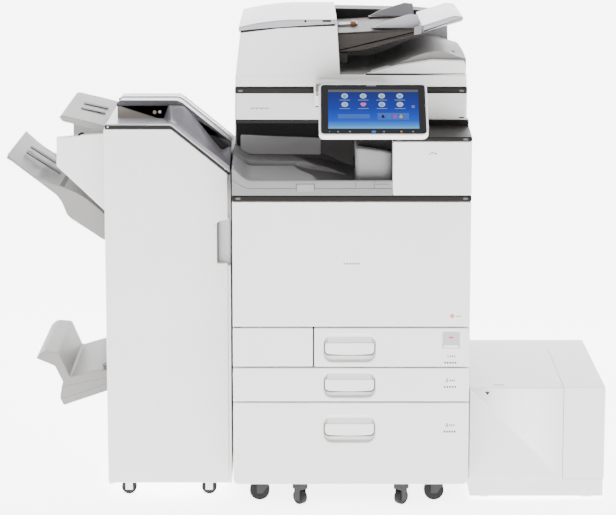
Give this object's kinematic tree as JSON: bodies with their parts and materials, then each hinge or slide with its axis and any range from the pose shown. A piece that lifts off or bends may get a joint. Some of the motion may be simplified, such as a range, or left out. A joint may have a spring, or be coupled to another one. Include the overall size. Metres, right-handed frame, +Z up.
{
  "type": "photocopier",
  "caption": "Floor-standing office photocopier with document feeder, touch panel, paper drawers, side finisher and side paper bin, on casters.",
  "frame": {"origin": "on the floor, below the middle of the whole machine's outline", "axes": "+X to the machine's right seen from the front (paper bin side), front faces -Y, +Z up"},
  "size_m": [1.5, 0.77, 1.2184],
  "materials": {
    "warm_white": "fine grained moulded housing plastic",
    "dark_trim": "satin dark brown-black trim",
    "silver_trim": "satin lavender-silver paint",
    "tray_grey": "grained light grey tray plastic",
    "frame_steel": "zinc-coated folded sheet",
    "engine_black": "moulded black engine parts",
    "clear_glass": "polished float glass",
    "screen_glass": "black bonded glass with a lit display",
    "black_tyre": "hard rubber tread",
    "fork_steel": "black-coated pressed steel",
    "toner_black": "black toner bottle",
    "toner_cyan": "cyan toner bottle",
    "toner_magenta": "magenta toner bottle",
    "toner_yellow": "yellow toner bottle"
  },
  "bodies": {
    "main_body": {"main_frame": "frame_steel", "left_cover": "warm_white", "rear_cover": "warm_white", "right_cover": "warm_white", "inner_front_cover": "tray_grey", "exit_tray": "tray_grey", "exit_unit_cover": "tray_grey", "upper_right_cover": "warm_white", "front_trim": "dark_trim", "scanner_housing": "warm_white", "platen_glass": "clear_glass", "drum_cartridges": "engine_black", "transfer_unit": "engine_black", "fuser_unit": "engine_black"},
    "front_door": {"front_door": "warm_white"},
    "waste_toner_cover": {"waste_toner_cover": "warm_white"},
    "drawer_1": {"tray_1_front": "warm_white", "tray_1_box": "warm_white"},
    "drawer_2": {"tray_2_front": "warm_white", "tray_2_box": "warm_white"},
    "drawer_3": {"tray_3_front": "warm_white", "tray_3_box": "warm_white"},
    "right_door": {"right_door": "warm_white"},
    "bypass_tray": {"bypass_tray": "warm_white"},
    "scan_carriage": {"scan_carriage": "engine_black"},
    "mirror_carriage": {"mirror_carriage": "engine_black"},
    "toner_bottle_1": {"toner_bottle_1": "toner_yellow"},
    "toner_bottle_2": {"toner_bottle_2": "toner_magenta"},
    "toner_bottle_3": {"toner_bottle_3": "toner_cyan"},
    "toner_bottle_4": {"toner_bottle_4": "toner_black"},
    "feeder": {"adf_body": "warm_white"},
    "feed_cover": {"adf_feed_cover": "silver_trim"},
    "input_tray": {"adf_input_tray": "silver_trim"},
    "guide_front": {"adf_guide_front": "dark_trim"},
    "guide_rear": {"adf_guide_rear": "dark_trim"},
    "panel": {"panel_shell": "warm_white", "panel_screen": "screen_glass"},
    "power_key": {"panel_key": "tray_grey"},
    "finisher": {"finisher_cabinet": "warm_white", "finisher_top": "silver_trim", "finisher_slope_cover": "silver_trim", "proof_tray": "tray_grey", "booklet_tray": "tray_grey"},
    "finisher_door": {"finisher_door": "warm_white"},
    "shift_tray": {"shift_tray": "tray_grey"},
    "finisher_wheels_left": {"finisher_wheels_left": "black_tyre"},
    "finisher_wheels_right": {"finisher_wheels_right": "black_tyre"},
    "paper_bin": {"lct_cabinet": "warm_white"},
    "bin_lid": {"lct_cover": "warm_white"},
    "bin_lift_plate": {"lct_lift_plate": "frame_steel"},
    "caster_front_left": {"caster_fork_front_left": "fork_steel"},
    "wheel_front_left": {"caster_wheel_front_left": "black_tyre"},
    "caster_front_right": {"caster_fork_front_right": "fork_steel"},
    "wheel_front_right": {"caster_wheel_front_right": "black_tyre"},
    "caster_rear_left": {"caster_fork_rear_left": "fork_steel"},
    "wheel_rear_left": {"caster_wheel_rear_left": "black_tyre"},
    "caster_rear_right": {"caster_fork_rear_right": "fork_steel"},
    "wheel_rear_right": {"caster_wheel_rear_right": "black_tyre"},
    "outrigger_left": {"outrigger_wheel_left": "black_tyre"},
    "outrigger_right": {"outrigger_wheel_right": "black_tyre"}
  },
  "joints": [
    {"name": "front_door_hinge", "type": "hinge", "parent": "main_body", "child": "front_door", "pos_m": [-0.172, -0.28875, 0.461], "axis": [0, 0, -1], "range_deg": [0, 110]},
    {"name": "waste_cover_hinge", "type": "hinge", "parent": "main_body", "child": "waste_toner_cover", "pos_m": [-0.083, -0.29575, 0.3641], "axis": [1, 0, 0], "range_deg": [0, 90]},
    {"name": "drawer_1_slide", "type": "slide", "parent": "main_body", "child": "drawer_1", "axis": [0, -1, 0], "range_m": [0, 0.43]},
    {"name": "drawer_2_slide", "type": "slide", "parent": "main_body", "child": "drawer_2", "axis": [0, -1, 0], "range_m": [0, 0.43]},
    {"name": "drawer_3_slide", "type": "slide", "parent": "main_body", "child": "drawer_3", "axis": [0, -1, 0], "range_m": [0, 0.43]},
    {"name": "right_door_hinge", "type": "hinge", "parent": "main_body", "child": "right_door", "pos_m": [0.4, 0.01275, 0.4684], "axis": [0, 1, 0], "range_deg": [0, 40]},
    {"name": "bypass_tray_hinge", "type": "hinge", "parent": "right_door", "child": "bypass_tray", "pos_m": [0.397, 0.01275, 0.5079], "axis": [0, 1, 0], "range_deg": [0, 65]},
    {"name": "lamp_carriage_slide", "type": "slide", "parent": "main_body", "child": "scan_carriage", "axis": [1, 0, 0], "range_m": [0, 0.43]},
    {"name": "mirror_carriage_slide", "type": "slide", "parent": "main_body", "child": "mirror_carriage", "axis": [1, 0, 0], "range_m": [0, 0.215]},
    {"name": "toner_bottle_1_spin", "type": "hinge", "parent": "main_body", "child": "toner_bottle_1", "pos_m": [-0.0955, -0.12175, 0.713], "axis": [0, 1, 0], "continuous": true},
    {"name": "toner_bottle_2_spin", "type": "hinge", "parent": "main_body", "child": "toner_bottle_2", "pos_m": [0.0005, -0.12175, 0.713], "axis": [0, 1, 0], "continuous": true},
    {"name": "toner_bottle_3_spin", "type": "hinge", "parent": "main_body", "child": "toner_bottle_3", "pos_m": [0.0965, -0.12175, 0.713], "axis": [0, 1, 0], "continuous": true},
    {"name": "toner_bottle_4_spin", "type": "hinge", "parent": "main_body", "child": "toner_bottle_4", "pos_m": [0.1925, -0.12175, 0.713], "axis": [0, 1, 0], "continuous": true},
    {"name": "feeder_lid_hinge", "type": "hinge", "parent": "main_body", "child": "feeder", "pos_m": [0.1105, 0.37425, 1.05], "axis": [-1, 0, 0], "range_deg": [0, 60]},
    {"name": "feed_cover_hinge", "type": "hinge", "parent": "feeder", "child": "feed_cover", "pos_m": [-0.1685, 0.10275, 1.1793], "axis": [0, -1, 0], "range_deg": [0, 75]},
    {"name": "input_tray_hinge", "type": "hinge", "parent": "feeder", "child": "input_tray", "pos_m": [0.0685, 0.05425, 1.151], "axis": [0, -1, 0], "range_deg": [0, 30]},
    {"name": "guide_front_slide", "type": "slide", "parent": "input_tray", "child": "guide_front", "axis": [0, 1, 0], "range_m": [0, 0.08]},
    {"name": "guide_rear_slide", "type": "slide", "parent": "input_tray", "child": "guide_rear", "axis": [0, 1, 0], "range_m": [-0.08, 0]},
    {"name": "panel_tilt", "type": "hinge", "parent": "main_body", "child": "panel", "pos_m": [0.1615, -0.22775, 1.044], "axis": [-1, 0, 0], "range_deg": [-12, 25]},
    {"name": "power_key_press", "type": "slide", "parent": "panel", "child": "power_key", "axis": [-1, 0, 0], "range_m": [0, 0.001], "stiffness_N_per_m": 400, "springref_m": -0.0005},
    {"name": "finisher_undock", "type": "slide", "parent": "main_body", "child": "finisher", "axis": [-1, 0, 0], "range_m": [0, 0.3]},
    {"name": "finisher_door_hinge", "type": "hinge", "parent": "finisher", "child": "finisher_door", "pos_m": [-0.493, -0.22875, 0.044], "axis": [0, 0, -1], "range_deg": [0, 110]},
    {"name": "shift_tray_lift", "type": "slide", "parent": "finisher", "child": "shift_tray", "axis": [0, 0, -1], "range_m": [0, 0.24]},
    {"name": "finisher_wheels_left_roll", "type": "hinge", "parent": "finisher", "child": "finisher_wheels_left", "pos_m": [-0.452, 0.06875, 0.019], "axis": [0, 1, 0], "continuous": true},
    {"name": "finisher_wheels_right_roll", "type": "hinge", "parent": "finisher", "child": "finisher_wheels_right", "pos_m": [-0.248, 0.06875, 0.019], "axis": [0, 1, 0], "continuous": true},
    {"name": "paper_bin_undock", "type": "slide", "parent": "main_body", "child": "paper_bin", "axis": [1, 0, 0], "range_m": [0, 0.3]},
    {"name": "bin_lid_hinge", "type": "hinge", "parent": "paper_bin", "child": "bin_lid", "pos_m": [0.646, -0.02375, 0.292], "axis": [0, -1, 0], "range_deg": [0, 75]},
    {"name": "bin_lift", "type": "slide", "parent": "paper_bin", "child": "bin_lift_plate", "axis": [0, 0, 1], "range_m": [0, 0.2]},
    {"name": "caster_front_left_swivel", "type": "hinge", "parent": "main_body", "child": "caster_front_left", "pos_m": [-0.1005, -0.22975, 0.055], "axis": [0, 0, 1], "continuous": true},
    {"name": "caster_front_left_roll", "type": "hinge", "parent": "caster_front_left", "child": "wheel_front_left", "pos_m": [-0.1185, -0.22975, 0.025], "axis": [0, 1, 0], "continuous": true},
    {"name": "caster_front_right_swivel", "type": "hinge", "parent": "main_body", "child": "caster_front_right", "pos_m": [0.3395, -0.22975, 0.055], "axis": [0, 0, 1], "continuous": true},
    {"name": "caster_front_right_roll", "type": "hinge", "parent": "caster_front_right", "child": "wheel_front_right", "pos_m": [0.3215, -0.22975, 0.025], "axis": [0, 1, 0], "continuous": true},
    {"name": "caster_rear_left_swivel", "type": "hinge", "parent": "main_body", "child": "caster_rear_left", "pos_m": [-0.1005, 0.31025, 0.055], "axis": [0, 0, 1], "continuous": true},
    {"name": "caster_rear_left_roll", "type": "hinge", "parent": "caster_rear_left", "child": "wheel_rear_left", "pos_m": [-0.1185, 0.31025, 0.025], "axis": [0, 1, 0], "continuous": true},
    {"name": "caster_rear_right_swivel", "type": "hinge", "parent": "main_body", "child": "caster_rear_right", "pos_m": [0.3395, 0.31025, 0.055], "axis": [0, 0, 1], "continuous": true},
    {"name": "caster_rear_right_roll", "type": "hinge", "parent": "caster_rear_right", "child": "wheel_rear_right", "pos_m": [0.3215, 0.31025, 0.025], "axis": [0, 1, 0], "continuous": true},
    {"name": "outrigger_left_roll", "type": "hinge", "parent": "main_body", "child": "outrigger_left", "pos_m": [-0.0165, -0.27375, 0.019], "axis": [0.7071, 0.7071, 0], "continuous": true},
    {"name": "outrigger_right_roll", "type": "hinge", "parent": "main_body", "child": "outrigger_right", "pos_m": [0.2375, -0.27375, 0.019], "axis": [-0.7071, 0.7071, 0], "continuous": true}
  ],
  "couplings": [
    {"joint": "mirror_carriage_slide", "follows": "lamp_carriage_slide", "ratio": 0.5},
    {"joint": "guide_rear_slide", "follows": "guide_front_slide", "ratio": -1}
  ]
}
